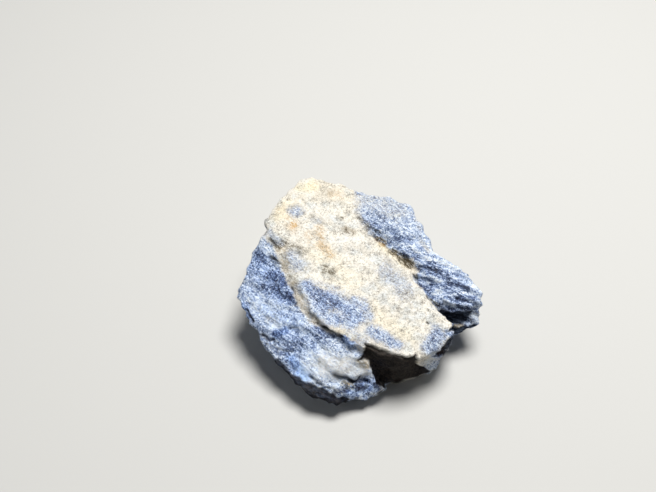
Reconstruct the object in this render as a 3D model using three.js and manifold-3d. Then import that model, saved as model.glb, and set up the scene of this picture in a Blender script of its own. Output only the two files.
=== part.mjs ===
// A rough hand specimen of dumortierite: one piece of broken rock, a pale quartz bed
// between two blue, foliated dumortierite bands. It is 45 mm wide and lies on a flat break.
//
// Millimetres, +Z up. The origin is under the middle of the stone, on the surface it rests on.
// Four convex lumps give the masses of the stone. Each one is a list of corners: the upper ones
// follow its creases and its rim, and the lower ones close its sides and underside, where flat
// breaks trim it. One skin of nearly even triangles is drawn tight over the lumps, so that the
// stone is a single piece without seams, and then roughened, stepped and cracked.

import * as THREE from "three";
import { ConvexGeometry } from "three/addons/geometries/ConvexGeometry.js";
import { ImprovedNoise } from "three/addons/math/ImprovedNoise.js";
import { TessellateModifier } from "three/addons/modifiers/TessellateModifier.js";
import { mergeVertices } from "three/addons/utils/BufferGeometryUtils.js";
import Module from "manifold-3d";

const wasm = await Module();
wasm.setup();

// ---- driving dimensions, in millimetres ----

const swell = { size: 9, height: 0.4 }; // broad bulges and hollows of a broken face
const chatter = { size: 2.6, height: 0.34 }; // the coarse grain of the break
const sideRoughness = 2.4; // how many times rougher the sides are than the flat top

const shelfLedges = { spacing: 3.1, height: 0.34 }; // where the left-hand blue band splits
const crestLedges = { spacing: 2.1, height: 0.24 }; // where the right-hand blue band splits
const beakLedgeHeight = 0.62; // the same ledges at the front end of the right-hand band
const foliationNormal = new THREE.Vector3(0.47, 0.78, 0.42).normalize(); // square to the ledges

// The pale quartz bed between the blue bands, measured square to the bedding.
const beddingNormal = new THREE.Vector3(0.86, 0.51, 0).normalize();
const paleBed = { from: -11.5, to: 8.5 };

const skinEdge = 1.45; // longest edge of the skin before it is evened out
const heart = new THREE.Vector3(2.5, 1.0, 4.5); // the skin closes in towards this point
const stoneBlue = "#8497bd";

// Each lump: how many breaks trim its lower edges, the deepest of them, and its corners.
const lumps = {
  // The pale bed, with the broad flat top that slopes down to the front.
  bed: {
    breaks: 14,
    depth: 1.6,
    corners: [
      [-10.0, 21.6, 17.3], // peak at the back
      [-2.4, 18.9, 16.9],
      [1.6, 17.3, 16.7],
      [5.5, 5.8, 14.9], // groove along the right-hand band
      [11.1, -1.3, 13.3],
      [13.8, -5.9, 12.2],
      [16.8, -10.0, 10.8], // right-hand corner
      [15.5, -13.2, 9.6],
      [12.7, -15.1, 9.9],
      [9.9, -16.8, 10.5], // edge over the front hollow
      [7.2, -17.5, 10.9],
      [4.3, -16.3, 11.3],
      [1.0, -15.1, 11.7],
      [-1.8, -14.6, 11.9], // step down to the left-hand band
      [-4.4, -12.6, 12.3],
      [-7.4, -10.3, 12.8],
      [-12.0, -1.7, 14.1],
      [-16.9, 7.7, 15.5],
      [-17.6, 11.0, 15.9], // left-hand rim
      [-16.9, 13.0, 16.2],
      [-12.9, 18.5, 16.9],
      [-15.5, 13.5, 7.0], // sides and underside
      [-10.5, 20.5, 6.0],
      [-2.0, 21.8, 4.0],
      [7.0, 19.0, 3.5],
      [13.0, 10.0, 2.0],
      [16.5, 1.0, 1.0],
      [16.6, -8.0, 1.5],
      [14.9, -13.0, 2.3],
      [8.6, -14.8, 0.5],
      [5.6, -16.8, 0.8],
      [-12.0, -3.0, 1.0],
      [-14.0, 7.0, 2.0],
      [-8.0, -8.0, -1.0],
      [7.0, -12.0, -1.0],
      [12.0, -4.0, -1.0],
      [10.0, 8.0, -1.0],
      [1.0, 14.0, -1.0],
      [-8.0, 8.0, -1.0],
    ],
  },
  // The left-hand blue band, which slopes down from the step to its low front end.
  shelf: {
    breaks: 14,
    depth: 1.0,
    corners: [
      [-16.4, 8.9, 15.8], // along the step
      [-13.4, 3.4, 15.0],
      [-11.4, -1.6, 14.1],
      [-9.2, -5.8, 13.2],
      [-7.0, -10.3, 11.9],
      [-4.4, -12.6, 11.1],
      [-1.4, -14.8, 10.4],
      [1.1, -15.2, 10.0],
      [-18.0, 9.4, 14.6], // outer rim
      [-19.2, 6.4, 13.5],
      [-21.3, 2.3, 11.8],
      [-23.1, -2.6, 9.5], // left-hand point
      [-21.7, -6.5, 8.5],
      [-17.9, -9.1, 7.5],
      [-14.0, -14.3, 6.1],
      [-12.1, -18.0, 5.0],
      [-9.0, -20.5, 4.3],
      [-3.9, -21.8, 3.4],
      [3.9, -20.1, 2.3],
      [5.4, -17.5, 1.7],
      [2.3, -15.9, 8.0], // beside the front hollow
      [2.9, -16.6, 5.0],
      [-16.5, 6.0, 6.0], // underside
      [-18.5, -1.5, 5.0],
      [-15.2, -6.8, 3.8],
      [-11.4, -12.6, 2.9],
      [-6.5, -18.5, 1.6],
      [1.0, -18.0, 0.4],
      [-8.0, -6.0, -0.6],
      [2.0, -12.0, -0.6],
      [-10.0, 6.0, 2.0],
    ],
  },
  // The back half of the right-hand blue band.
  crest: {
    breaks: 10,
    depth: 1.4,
    corners: [
      [1.6, 17.2, 16.9], // rim
      [5.4, 16.0, 17.0],
      [9.5, 14.6, 16.9],
      [11.0, 11.7, 16.4],
      [12.6, 6.7, 15.5],
      [13.5, 4.6, 14.9],
      [0.9, 12.9, 16.1], // along the groove
      [3.0, 9.1, 15.2],
      [5.9, 5.8, 14.4],
      [9.5, 2.5, 13.6],
      [11.0, 0.5, 13.2],
      [6.0, 18.2, 5.0], // back and side
      [11.5, 14.5, 4.0],
      [14.6, 7.0, 4.0],
      [15.0, 2.0, 3.5],
      [6.0, 8.0, 4.0],
    ],
  },
  // The front half of the right-hand band, which ends in an overhanging beak.
  beak: {
    breaks: 10,
    depth: 1.0,
    corners: [
      [13.4, 4.8, 15.0], // rim
      [17.2, 2.1, 14.4],
      [21.1, -1.3, 13.1],
      [22.5, -2.8, 11.7],
      [22.2, -4.8, 9.5],
      [10.5, 0.5, 13.4], // along the groove
      [11.5, -1.2, 13.0],
      [14.2, -5.4, 11.8],
      [16.0, -5.4, 12.0], // top of the broken end
      [18.5, -5.9, 11.5],
      [21.2, -5.1, 11.0],
      [17.0, -7.3, 7.0], // foot of the broken end
      [19.1, -7.6, 5.6],
      [22.4, -6.3, 6.6],
      [20.5, -2.5, 4.5], // outer side
      [17.5, 2.5, 3.0],
      [14.5, 3.5, 3.5],
      [14.0, -5.0, 3.0],
    ],
  },
};

// Open cracks: how far each one reaches to either side of its line, and its depth.
const cracks = {
  // Under the edge of the pale bed, where the left-hand band steps down from it.
  step: {
    width: 1.6,
    depth: 0.7,
    line: [
      [-7.6, -9.4, 12.2],
      [-5.3, -11.3, 11.6],
      [-3.2, -13.1, 11.2],
      [-0.4, -14.6, 10.8],
    ],
  },
  // Between the pale bed and the right-hand band.
  groove: {
    width: 1.8,
    depth: 0.9,
    line: [
      [3.8, 7.8, 15.0],
      [7.4, 4.2, 14.2],
      [11.0, -0.6, 13.2],
      [13.4, -4.8, 12.4],
      [15.6, -7.6, 10.6],
    ],
  },
  // Across the low front end of the left-hand band.
  lobe: {
    width: 1.3,
    depth: 0.55,
    line: [
      [-5.4, -18.2, 6.4],
      [-2.4, -18.6, 6.0],
      [-0.2, -18.6, 5.8],
      [1.4, -17.4, 6.2],
    ],
  },
};

// ---- small tools ----

// A repeatable random number from 0 to 1, from a running seed.
function seededRandom(seed) {
  let state = seed;
  return () => {
    state = (state * 1664525 + 1013904223) % 4294967296;
    return state / 4294967296;
  };
}

// The geometry with its positions only, and one vertex at each place.
function weld(geometry) {
  const bare = new THREE.BufferGeometry();
  bare.setAttribute("position", geometry.getAttribute("position").clone());
  if (geometry.index) bare.setIndex(geometry.index);
  return mergeVertices(bare, 1e-3);
}

function solidOf(geometry) {
  const welded = weld(geometry);
  return new wasm.Manifold(
    new wasm.Mesh({
      numProp: 3,
      vertProperties: welded.attributes.position.array,
      triVerts: new Uint32Array(welded.index.array),
    }),
  );
}

function geometryOf(solid) {
  const mesh = solid.getMesh();
  const geometry = new THREE.BufferGeometry();
  geometry.setAttribute("position", new THREE.BufferAttribute(mesh.vertProperties, 3));
  geometry.setIndex(new THREE.BufferAttribute(mesh.triVerts, 1));
  return geometry;
}

// A block whose near face is the plane through point with this outward normal.
function blockBeyond(point, normal, size = 60) {
  const block = new THREE.BoxGeometry(size, size, size);
  const turn = new THREE.Quaternion().setFromUnitVectors(new THREE.Vector3(0, 0, 1), normal);
  const centre = point.clone().addScaledVector(normal, size / 2);
  block.applyMatrix4(new THREE.Matrix4().compose(centre, turn, new THREE.Vector3(1, 1, 1)));
  return solidOf(block);
}

// The corners of a geometry's triangles.
function trianglesOf(geometry) {
  const { position } = geometry.attributes;
  const corner = (i) => new THREE.Vector3().fromBufferAttribute(position, geometry.index.getX(i));
  const triangles = [];
  for (let i = 0; i < geometry.index.count; i += 3) {
    triangles.push([corner(i), corner(i + 1), corner(i + 2)]);
  }
  return triangles;
}

// ---- the stone ----

// A convex lump with flat breaks across its lower corners and edges, each facing out and down.
function makeLump({ corners, breaks, depth }, random) {
  const points = corners.map((corner) => new THREE.Vector3(...corner));
  let lump = solidOf(new ConvexGeometry(points));
  for (let i = 0; i < breaks; i += 1) {
    const turn = 2 * Math.PI * random();
    const fall = 0.25 + 1.5 * random();
    const normal = new THREE.Vector3(Math.cos(turn), Math.sin(turn), -fall).normalize();
    const reach = Math.max(...points.map((point) => point.dot(normal)));
    const plane = normal.clone().multiplyScalar(reach - depth * (0.3 + 0.7 * random()));
    lump = lump.subtract(blockBeyond(plane, normal));
  }
  return lump;
}

// Moves each vertex along its line from the heart onto the outermost of the triangles.
function pullTight(skin, triangles) {
  const { position } = skin.attributes;
  const ray = new THREE.Ray(heart.clone());
  const place = new THREE.Vector3();
  const hit = new THREE.Vector3();
  for (let i = 0; i < position.count; i += 1) {
    ray.direction.fromBufferAttribute(position, i).sub(heart).normalize();
    let reach = 0;
    for (const [a, b, c] of triangles) {
      if (ray.intersectTriangle(a, b, c, false, hit)) {
        reach = Math.max(reach, hit.distanceTo(heart));
      }
    }
    ray.at(reach, place);
    position.setXYZ(i, place.x, place.y, place.z);
  }
}

// Moves each vertex towards the middle of its neighbours, by this share of the way.
function relax(skin, share) {
  const { position } = skin.attributes;
  const neighbours = Array.from({ length: position.count }, () => new Set());
  for (let i = 0; i < skin.index.count; i += 3) {
    const [a, b, c] = [0, 1, 2].map((k) => skin.index.getX(i + k));
    neighbours[a].add(b).add(c);
    neighbours[b].add(a).add(c);
    neighbours[c].add(a).add(b);
  }
  const places = neighbours.map((_, i) => new THREE.Vector3().fromBufferAttribute(position, i));
  neighbours.forEach((around, i) => {
    const middle = new THREE.Vector3();
    for (const j of around) middle.addScaledVector(places[j], 1 / around.size);
    middle.lerp(places[i], 1 - share);
    position.setXYZ(i, middle.x, middle.y, middle.z);
  });
}

// One skin of nearly even triangles over all of the lumps, with its sharpest edges eased.
function makeSkin(solid, passes = 12) {
  const triangles = trianglesOf(geometryOf(solid));
  const ball = new THREE.IcosahedronGeometry(1, 14);
  ball.translate(heart.x, heart.y, heart.z);
  const coarse = weld(ball);
  pullTight(coarse, triangles);
  const skin = weld(new TessellateModifier(skinEdge, 10).modify(coarse));
  for (let pass = 0; pass < passes; pass += 1) {
    relax(skin, 0.6);
    pullTight(skin, triangles);
  }
  relax(skin, 0.45);
  return skin;
}

// A saw-tooth ledge, 0 to 1 along the foliation's normal: a quick rise and a slow fall.
function ledge(phase) {
  const part = phase - Math.floor(phase);
  return part < 0.3 ? part / 0.3 : (1 - part) / 0.7;
}

// How far the ledges of the blue bands stand out at a place. The pale bed has none.
function ledgeHeight(place, wander) {
  const across = place.dot(beddingNormal);
  const along = place.dot(foliationNormal);
  const left = THREE.MathUtils.smoothstep(paleBed.from - across, -1, 1) * shelfLedges.height;
  const forward = THREE.MathUtils.smoothstep(-place.y, -8, 0);
  const rightHeight = THREE.MathUtils.lerp(crestLedges.height, beakLedgeHeight, forward);
  const right = THREE.MathUtils.smoothstep(across - paleBed.to, -1, 1) * rightHeight;
  return (
    left * (ledge(along / shelfLedges.spacing + wander) - 0.5) +
    right * (ledge(along / crestLedges.spacing + wander) - 0.5)
  );
}

// The cracks as points along their lines.
const crackPoints = Object.values(cracks).map(({ width, depth, line }) => {
  const curve = new THREE.CatmullRomCurve3(line.map((point) => new THREE.Vector3(...point)));
  return { width, depth, points: curve.getSpacedPoints(24) };
});

// How deep the cracks are at a place.
function crackDepth(place) {
  let deepest = 0;
  for (const { width, depth, points } of crackPoints) {
    const away = Math.min(...points.map((point) => point.distanceTo(place)));
    deepest = Math.max(deepest, depth * (1 - THREE.MathUtils.smoothstep(away, 0, width)));
  }
  return deepest;
}

// Moves each vertex out or in, so that flat facets become a broken surface.
function roughen(geometry) {
  const noise = new ImprovedNoise();
  const at = (place, size, shift) =>
    noise.noise(place.x / size + shift, place.y / size + shift, place.z / size - shift);
  geometry.computeVertexNormals();
  const { position, normal } = geometry.attributes;
  const place = new THREE.Vector3();
  const out = new THREE.Vector3();
  for (let i = 0; i < position.count; i += 1) {
    place.fromBufferAttribute(position, i);
    out.fromBufferAttribute(normal, i);
    const rough = THREE.MathUtils.lerp(sideRoughness, 1, THREE.MathUtils.clamp(out.z, 0, 1));
    const height =
      rough * swell.height * at(place, swell.size, 10) +
      rough * chatter.height * at(place, chatter.size, 25) +
      ledgeHeight(place, 0.9 * at(place, 6, 40)) -
      crackDepth(place);
    place.addScaledVector(out, height);
    position.setXYZ(i, place.x, place.y, place.z);
  }
  geometry.deleteAttribute("normal");
}

function makeStone() {
  const random = seededRandom(7);
  const masses = Object.values(lumps)
    .map((lump) => makeLump(lump, random))
    .reduce((sum, lump) => sum.add(lump));
  const skin = makeSkin(masses);
  roughen(skin);
  const below = blockBeyond(new THREE.Vector3(0, 0, 0), new THREE.Vector3(0, 0, -1));
  const geometry = geometryOf(solidOf(skin).subtract(below));
  geometry.computeBoundingBox();
  const middle = geometry.boundingBox.getCenter(new THREE.Vector3());
  geometry.translate(-middle.x, -middle.y, 0);
  const material = new THREE.MeshStandardMaterial({ color: stoneBlue, roughness: 0.85, metalness: 0 });
  const stone = new THREE.Mesh(geometry, material);
  stone.name = "stone";
  return stone;
}

const specimen = new THREE.Group();
specimen.add(makeStone());

export default specimen;
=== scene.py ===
"""The dumortierite stone's broken surface and colours, built over its CAD shape.

Everything about the stone is in millimetres until its mesh is written. The mesh, the floor, the lights
and the camera are in metres. Each use of noise is given a salt, a whole number that picks its pattern.
"""

import math
from types import SimpleNamespace

import bpy
import numpy as np
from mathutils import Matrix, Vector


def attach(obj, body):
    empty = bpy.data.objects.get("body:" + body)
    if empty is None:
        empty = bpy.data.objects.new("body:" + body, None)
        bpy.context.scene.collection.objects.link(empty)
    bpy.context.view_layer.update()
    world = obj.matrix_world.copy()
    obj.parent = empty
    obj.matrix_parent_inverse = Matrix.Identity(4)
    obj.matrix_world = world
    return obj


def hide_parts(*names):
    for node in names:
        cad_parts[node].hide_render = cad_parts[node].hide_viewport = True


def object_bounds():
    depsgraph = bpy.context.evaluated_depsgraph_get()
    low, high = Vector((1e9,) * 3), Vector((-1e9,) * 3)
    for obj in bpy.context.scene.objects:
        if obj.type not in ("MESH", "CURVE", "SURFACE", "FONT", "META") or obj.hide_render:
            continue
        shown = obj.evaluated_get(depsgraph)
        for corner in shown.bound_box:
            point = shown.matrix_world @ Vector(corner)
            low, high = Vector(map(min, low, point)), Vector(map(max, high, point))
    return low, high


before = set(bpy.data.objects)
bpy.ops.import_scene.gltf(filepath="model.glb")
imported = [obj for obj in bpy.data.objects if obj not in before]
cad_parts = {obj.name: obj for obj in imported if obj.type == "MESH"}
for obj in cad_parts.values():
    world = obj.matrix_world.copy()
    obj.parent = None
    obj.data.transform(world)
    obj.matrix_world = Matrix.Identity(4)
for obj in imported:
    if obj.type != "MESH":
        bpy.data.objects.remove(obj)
cad_low, cad_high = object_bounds()

MM = 0.001
SEED = 7
VOXEL = 0.24
WELD_DISTANCE = 0.002

# What lies lower than the first height belongs to the flat face under the stone. From the second one
# down, the relief fades out towards that face.
FLAT_FACE_HEIGHT = 0.02
FADING_HEIGHT = 0.8

# How many times each kind of smoothing is repeated.
SMOOTHING_PASSES = 14
FACING_PASSES = 20
CRISPNESS_PASSES = 24
LEVELLING_PASSES = 60
RELIEF_PASSES = 6

# How far the surface may pass the CAD box, sideways and upwards.
SIDE_MARGIN = 0.25
TOP_MARGIN = 0.15

# The camera looks down at the stone's front. Its place is in metres and its tilt in degrees, and the
# tilt's sine and cosine are rounded.
CAMERA_PLACE = (-0.00588, -0.13090, 0.17020)
CAMERA_LENS = 61.38
CAMERA_TILT = 48.696
TILT_SINE, TILT_COSINE = 0.751, 0.66
TO_CAMERA = np.array((0.0, -TILT_COSINE, TILT_SINE))

# The blue rock is thin layers that break into long splinters. The first two directions run along the
# splinters, on the left and on the ridge, and the third points across the layers.
SPLINTER = np.array((0.84, -0.50, -0.20))
RIDGE_SPLINTER = np.array((0.94, -0.28, -0.16))
FOLIATION = np.array((0.47, 0.78, 0.42))

# The pale bed's two edges in plan, from the back of the stone to the front.
PALE_LEFT = [
    (-19.5, 13.0), (-17.5, 8.8), (-16.0, 5.6), (-14.9, 2.0), (-13.3, -2.0), (-11.5, -5.6), (-10.2, -8.1),
    (-8.6, -9.5), (-5.5, -11.7), (-3.6, -12.7), (-0.6, -14.5), (0.8, -15.4), (3.0, -20.0),
]
PALE_RIGHT = [
    (-1.6, 21.0), (-0.6, 16.3), (-0.2, 13.0), (1.2, 10.5), (2.9, 7.7), (5.2, 5.6), (7.4, 4.4),
    (9.6, 2.9), (10.6, 1.0), (9.9, -0.9), (10.4, -2.2), (11.9, -4.0), (13.9, -6.3), (16.6, -8.6),
    (21.0, -14.0),
]

# The clay-stained strip between the pale bed and the blue band on its left.
STRIP = [
    (-13.5, 1.7, 14.7), (-12.6, 0.2, 14.3), (-12.2, -1.5, 14.0), (-11.7, -3.3, 13.5),
    (-10.8, -5.1, 13.1), (-9.8, -7.2, 12.5), (-8.8, -8.9, 11.8),
]

# Cracks: the line each follows, its half width and its depth. Shallow ones open only in patches.
SHALLOW_CRACK = 0.5
CRACKS = {
    "step": ([
        (-8.0, -9.7, 11.6), (-7.3, -10.2, 11.5), (-5.7, -11.4, 11.7), (-4.4, -12.2, 11.5),
        (-2.9, -13.6, 11.9),
    ], 0.24, 0.75),
    "step_end": ([(-2.9, -13.6, 11.9), (-1.7, -14.2, 11.8), (0.3, -14.8, 11.7)], 0.20, 0.45),
    "step_branch": ([(-7.0, -10.8, 11.3), (-5.9, -11.9, 10.9), (-4.9, -12.4, 10.8)], 0.20, 0.45),
    "groove_top": ([(12.2, -4.4, 12.0), (13.8, -4.9, 11.5), (14.2, -5.6, 11.0)], 0.22, 0.40),
    "groove": ([
        (14.2, -5.6, 11.0), (15.0, -6.4, 10.2), (15.9, -6.6, 9.2), (16.8, -7.0, 7.9),
    ], 0.50, 0.90),
    "lobe": ([(-4.5, -17.9, 6.8), (-3.5, -18.1, 6.5), (-1.9, -18.2, 6.1)], 0.42, 0.95),
    "lobe_hook": ([(-1.9, -18.2, 6.1), (-1.1, -18.2, 6.0), (-0.2, -17.8, 6.3)], 0.26, 0.6),
    "shoulder": ([(-18.2, 9.0, 15.0), (-17.0, 7.4, 15.2), (-15.8, 5.6, 15.2)], 0.28, 0.75),
    "rim": ([(-16.6, 3.7, 14.4), (-15.0, 2.0, 14.3)], 0.22, 0.5),
    "rim_dash": ([(-13.2, -1.6, 13.5), (-12.5, -2.9, 13.3), (-11.9, -4.1, 13.1)], 0.18, 0.5),
    "strip": ([(-9.2, -7.0, 13.1), (-8.8, -8.2, 13.0), (-8.4, -8.7, 12.4)], 0.12, 0.10),
    "left_tip": ([
        (-22.4, -3.1, 9.5), (-21.9, -4.2, 9.3), (-20.8, -5.3, 9.3), (-20.3, -6.3, 9.2),
        (-19.7, -7.4, 8.9),
    ], 0.30, 0.7),
    "left_line": ([(-19.4, -7.4, 8.9), (-18.7, -8.5, 8.4), (-18.1, -9.4, 8.2)], 0.18, 0.35),
    "left_gap": ([
        (-17.4, -11.0, 7.8), (-16.7, -11.7, 7.6), (-15.1, -13.0, 7.2), (-14.6, -14.6, 6.6),
    ], 0.24, 0.35),
    "left_inner": ([(-18.2, -9.9, 7.9), (-17.2, -10.4, 8.0), (-15.9, -11.0, 8.1)], 0.24, 0.55),
    "bed_groove": ([(1.5, -12.3, 12.3), (1.9, -13.3, 12.1), (2.6, -14.3, 11.9)], 0.16, 0.2),
    "lower_band": ([(-12.5, -12.5, 8.4), (-11.5, -13.2, 8.4), (-10.6, -13.8, 8.5)], 0.17, 0.3),
    "lower_band_left": ([(-15.6, -12.3, 7.5), (-13.9, -13.1, 7.7), (-12.1, -13.5, 7.9)], 0.18, 0.4),
    "band_a": ([(-15.2, -2.8, 12.2), (-14.0, -4.5, 12.1)], 0.18, 0.3),
    "band_b": ([(-21.3, 0.4, 11.0), (-18.9, -2.1, 10.8)], 0.20, 0.45),
    "band_c": ([(-15.3, -1.4, 12.9), (-14.4, -3.5, 12.3), (-12.9, -4.9, 12.3)], 0.20, 0.45),
    "crease_b": ([(-13.2, -7.8, 11.1), (-11.2, -9.3, 11.3)], 0.18, 0.35),
    "crease_c": ([(-14.5, -10.0, 9.5), (-12.7, -9.8, 10.1), (-11.4, -10.1, 10.3)], 0.18, 0.25),
    "foot_a": ([
        (-9.2, -17.6, 6.2), (-8.3, -18.2, 6.0), (-7.1, -18.9, 5.9), (-6.0, -19.3, 5.6),
    ], 0.22, 0.55),
    "foot_b": ([(-4.8, -19.7, 5.4), (-3.4, -20.0, 5.2), (-2.2, -19.9, 5.1)], 0.22, 0.5),
    "foot_c": ([(-1.1, -18.7, 5.4), (-0.4, -19.2, 4.8), (0.1, -19.2, 4.5)], 0.24, 0.55),
    "foot_d": ([(0.2, -18.0, 5.7), (0.7, -18.0, 5.4), (1.4, -18.1, 5.5)], 0.20, 0.50),
    "ridge_a": ([(10.9, 1.6, 13.4), (14.0, 0.3, 13.6), (15.5, -0.8, 13.5)], 0.20, 0.35),
    "ridge_b": ([(10.4, -1.3, 12.6), (11.4, -2.1, 12.3), (12.5, -2.7, 12.2)], 0.24, 0.5),
    "ridge_c": ([(16.2, -1.5, 12.8), (19.2, -2.6, 12.7)], 0.20, 0.4),
    "ridge_d": ([(13.4, -0.9, 13.4), (15.2, -1.5, 13.2)], 0.16, 0.18),
    "ridge_e": ([(14.1, -3.2, 12.5), (15.7, -3.8, 12.2)], 0.18, 0.3),
    "ridge_f": ([(17.6, -4.5, 11.6), (20.8, -4.8, 10.9)], 0.20, 0.35),
    "ridge_g": ([(14.7, -5.2, 11.9), (16.6, -5.5, 11.3)], 0.16, 0.15),
    "crest_foot": ([(1.1, 9.7, 15.5), (2.7, 8.1, 14.9), (3.4, 7.3, 14.6)], 0.26, 0.3),
    "crest_edge": ([
        (-0.4, 12.1, 15.7), (0.9, 10.7, 15.5), (2.1, 9.5, 15.4), (3.6, 8.7, 15.1), (4.9, 7.6, 14.9),
    ], 0.20, 0.45),
    "groove_edge": ([(7.2, 4.0, 13.8), (8.9, 2.8, 13.6)], 0.34, 0.3),
    "crest_side": ([
        (5.8, 4.2, 14.2), (8.1, 3.1, 13.5), (10.2, -0.3, 12.9), (10.7, -2.2, 12.7),
    ], 0.16, 0.25),
}

# Dark recesses, painted near black as painted shade where they face the camera: an outline in
# millimetres as seen from the front and above (across, up), and the depth.
RECESSES = {
    "hollow": ([
        (0.6, -2.8), (1.8, -3.2), (3.5, -3.8), (5.3, -4.6), (6.7, -5.1), (8.8, -5.3), (9.6, -4.9),
        (9.9, -6.9), (12.3, -8.5), (14.6, -8.4), (15.0, -13.0), (3.0, -15.0), (3.2, -12.6), (4.3, -11.4),
        (2.7, -10.5), (1.8, -8.0), (1.3, -6.8), (0.3, -6.0), (-0.9, -6.4), (-0.5, -5.7), (0.4, -4.3),
    ], 0.9),
    "ridge_end": ([
        (12.7, 4.3), (13.3, 3.5), (14.0, 2.5), (15.3, 2.2), (16.6, 1.9), (18.0, 2.3), (18.9, 2.1),
        (20.8, 2.6), (20.4, 1.9), (19.9, 1.2), (19.8, 0.2), (18.9, -0.2), (17.5, -0.3), (16.1, 0.2),
        (14.9, 1.5), (13.6, 3.0),
    ], 0.6),
    "under_ridge": ([
        (16.4, -0.6), (17.2, -1.0), (18.4, -0.6), (19.4, -0.5), (20.4, -0.3), (21.8, -0.4), (20.6, -1.5),
        (19.0, -2.6), (16.6, -3.0),
    ], 0.3),
    "corner_notch": ([
        (16.8, -0.4), (15.2, -0.9), (14.9, -1.3), (15.8, -1.1), (16.6, -1.3), (17.6, -1.6), (17.6, -0.8),
    ], 0.8),
    "left_wall": ([
        (-14.6, -6.0), (-13.6, -7.3), (-12.1, -8.7), (-10.4, -9.8), (-8.4, -10.5), (-6.5, -11.3),
        (-5.0, -12.0), (-3.6, -12.6), (-2.9, -12.4), (-2.0, -13.2), (-3.0, -16.0), (-15.0, -16.0),
        (-17.0, -6.6),
    ], 0.15),
    "rim_upper": ([
        (16.4, -2.0), (15.4, -2.6), (14.3, -3.9), (14.0, -4.6), (15.0, -4.6), (16.2, -4.3), (16.9, -3.0),
    ], 0.5),
    "rim_lower": ([
        (14.1, -4.3), (13.0, -4.9), (13.2, -5.3), (14.2, -5.5), (15.4, -5.5), (16.0, -4.7), (15.0, -4.4),
    ], 0.4),
}

# Swellings: middle, half sizes and how far the middle moves.
SWELLINGS = [
    ((2.4, -17.6, 2.6), (2.6, 2.6, 3.2), (1.5, 0.0, 0.0)),
    ((20.6, -6.4, 7.2), (2.0, 2.0, 2.2), (0.9, 0.0, 0.0)),
    ((-17.4, 7.2, 14.9), (1.8, 2.2, 1.8), (-0.6, 0.0, 0.1)),
    ((-9.6, 19.8, 16.8), (3.0, 2.6, 2.0), (-0.4, 0.5, 0.2)),
    ((-21.4, -3.0, 9.4), (2.0, 3.4, 2.4), (-0.4, -0.1, 0.0)),
    ((-6.4, 19.2, 16.8), (2.2, 2.4, 2.2), (0.0, 0.3, 0.2)),
]

# Worn rims, where the splinters are rubbed down: the line each follows, its half width and its strength.
WORN = [
    ([
        (12.4, 6.0, 15.3), (13.6, 3.1, 14.6), (16.0, 1.6, 13.9), (18.4, -0.3, 13.3), (20.1, -1.8, 12.7),
    ], 1.0, 0.8),
    ([(20.1, -1.8, 12.7), (21.6, -3.0, 11.9), (21.8, -4.6, 10.0), (21.6, -5.8, 8.0)], 1.3, 0.9),
    ([
        (2.5, 16.7, 16.7), (8.6, 14.3, 16.8), (10.0, 12.8, 16.6), (11.4, 7.1, 15.7), (12.4, 6.0, 15.3),
    ], 1.0, 0.7),
    ([(-18.2, 7.1, 14.5), (-19.4, 4.6, 13.2), (-20.7, 1.9, 11.7), (-21.9, -1.0, 10.6)], 1.0, 0.8),
    ([(-3.8, -20.6, 3.6), (0.9, -19.6, 3.4), (3.6, -19.0, 3.0)], 1.6, 0.6),
    ([(-8.6, -17.0, 7.0), (-7.3, -15.9, 8.3), (-3.8, -17.1, 8.0), (-0.8, -16.9, 7.9)], 2.2, 0.4),
    ([(-15.2, -14.2, 5.8), (-12.3, -17.4, 4.8), (-9.1, -19.6, 4.2), (-5.6, -21.0, 3.6)], 1.2, 0.6),
]

# The rugged ridge: the line it follows, its half width and its strength.
RIDGE = [([(10.5, 3.5, 14.5), (14.0, -0.5, 13.5), (18.5, -4.0, 11.5), (19.5, -6.0, 8.0)], 4.0, 1.0)]

# Where the crest's blue fades into the pale bed instead of ending at an edge.
FADING_EDGE = [([(0.5, 14.0, 16.3), (0.8, 11.0, 15.8)], 3.0, 1.0)]

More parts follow.
